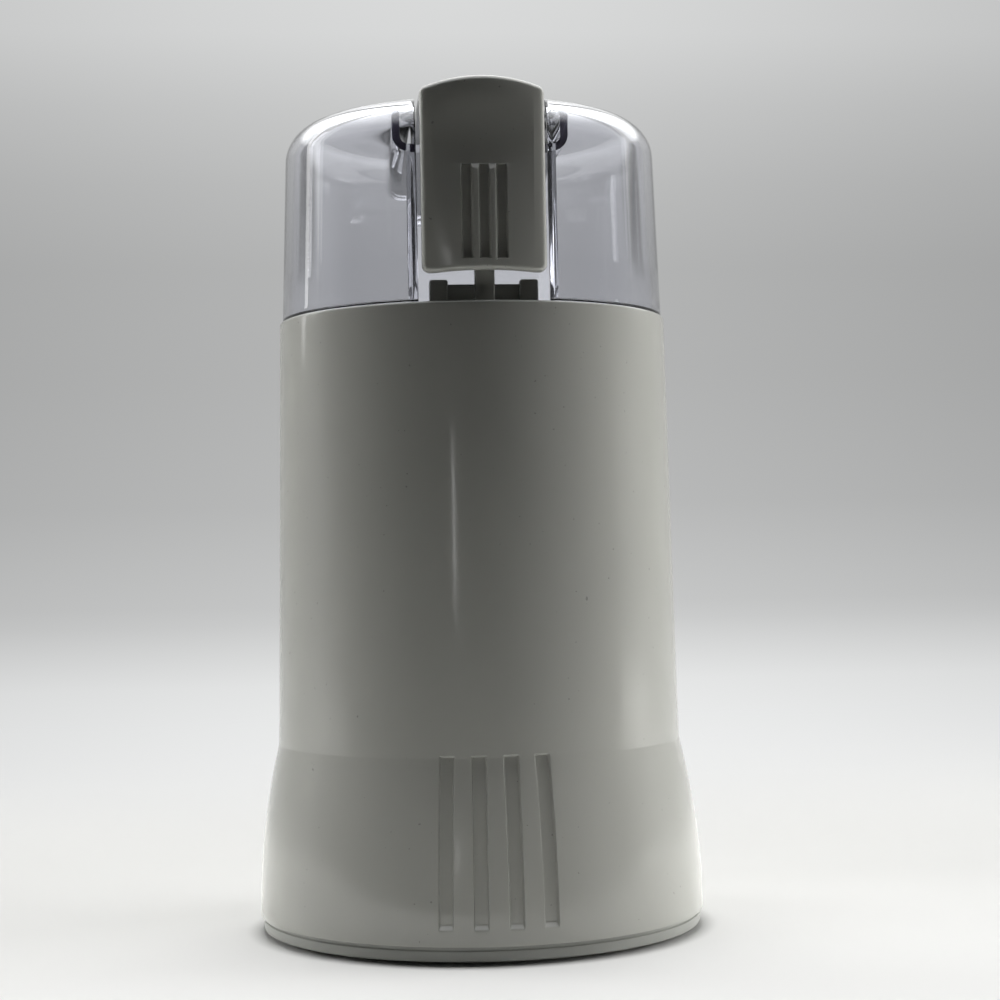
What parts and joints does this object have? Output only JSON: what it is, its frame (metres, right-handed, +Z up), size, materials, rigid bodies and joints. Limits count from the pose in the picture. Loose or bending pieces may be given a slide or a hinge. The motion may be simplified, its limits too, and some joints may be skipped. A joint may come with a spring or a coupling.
{
  "type": "electric spice grinder",
  "caption": "Upright blade grinder for spices or beans: tapered housing on a flared skirt, clear lift-off lid, and a press lever on the lid that works the switch.",
  "frame": {"origin": "centre of the base, on the table under the rubber feet", "axes": "+Z up along the motor shaft, -Y towards the front with the button, +X to the right seen from the front"},
  "size_m": [0.1017, 0.1017, 0.1867],
  "materials": {
    "body_plastic": "semi-gloss off-white",
    "base_plastic": "semi-gloss light grey",
    "clear_plastic": "clear, faintly violet",
    "button_plastic": "semi-gloss off-white",
    "nylon": "natural",
    "black_plastic": "moulded",
    "rubber": "matt",
    "stainless": "brushed",
    "steel": "plated",
    "iron": "laminated",
    "copper": "enamelled wire",
    "brass": "plain",
    "carbon": "carbon",
    "wire": "insulation"
  },
  "bodies": {
    "base": {"housing": "body_plastic", "deck": "body_plastic", "switch_holder": "body_plastic", "base_plate": "base_plastic", "feet": "rubber", "base_screws": "steel", "cord_gland": "rubber", "switch_body": "black_plastic", "switch_lever": "brass", "switch_screws": "steel", "switch_leads": "wire", "grinding_bowl": "stainless", "bowl_gasket": "rubber", "shaft_seal": "rubber", "upper_bearing": "brass", "lower_bearing": "brass", "upper_bracket": "steel", "lower_bracket": "steel", "motor_bolts": "steel", "stator_core": "iron", "field_coil_left": "copper", "field_coil_right": "copper", "brush_holders": "brass", "brushes": "carbon", "brush_springs": "brass", "motor_mounts": "rubber", "mount_screws": "steel", "plunger_spring": "steel"},
    "lid": {"lid": "clear_plastic", "lid_channel": "clear_plastic", "hinge_pin": "steel"},
    "button": {"button": "button_plastic"},
    "plunger": {"switch_plunger": "nylon"},
    "rotor": {"motor_shaft": "steel", "armature_core": "iron", "armature_windings": "copper", "commutator": "copper", "fan": "black_plastic", "blade": "stainless", "blade_hub": "black_plastic", "blade_nut": "brass"}
  },
  "joints": [
    {"name": "lid_lift", "type": "slide", "parent": "base", "child": "lid", "axis": [0, 0, 1], "range_m": [0, 0.06]},
    {"name": "button_press", "type": "hinge", "parent": "lid", "child": "button", "pos_m": [0, 0.02, 0.1773], "axis": [1, 0, 0], "range_deg": [0, 3.5], "stiffness_Nm_per_rad": 3, "springref_deg": -1.15},
    {"name": "plunger_press", "type": "slide", "parent": "base", "child": "plunger", "axis": [0, 0, -1], "range_m": [0, 0.0038], "deforming": ["plunger_spring"]},
    {"name": "rotor_spin", "type": "hinge", "parent": "base", "child": "rotor", "pos_m": [0, 0, 0.063], "axis": [0, 0, 1], "continuous": true}
  ],
  "couplings": [
    {"joint": "plunger_press", "follows": "button_press", "m_per_rad": 0.0616}
  ]
}
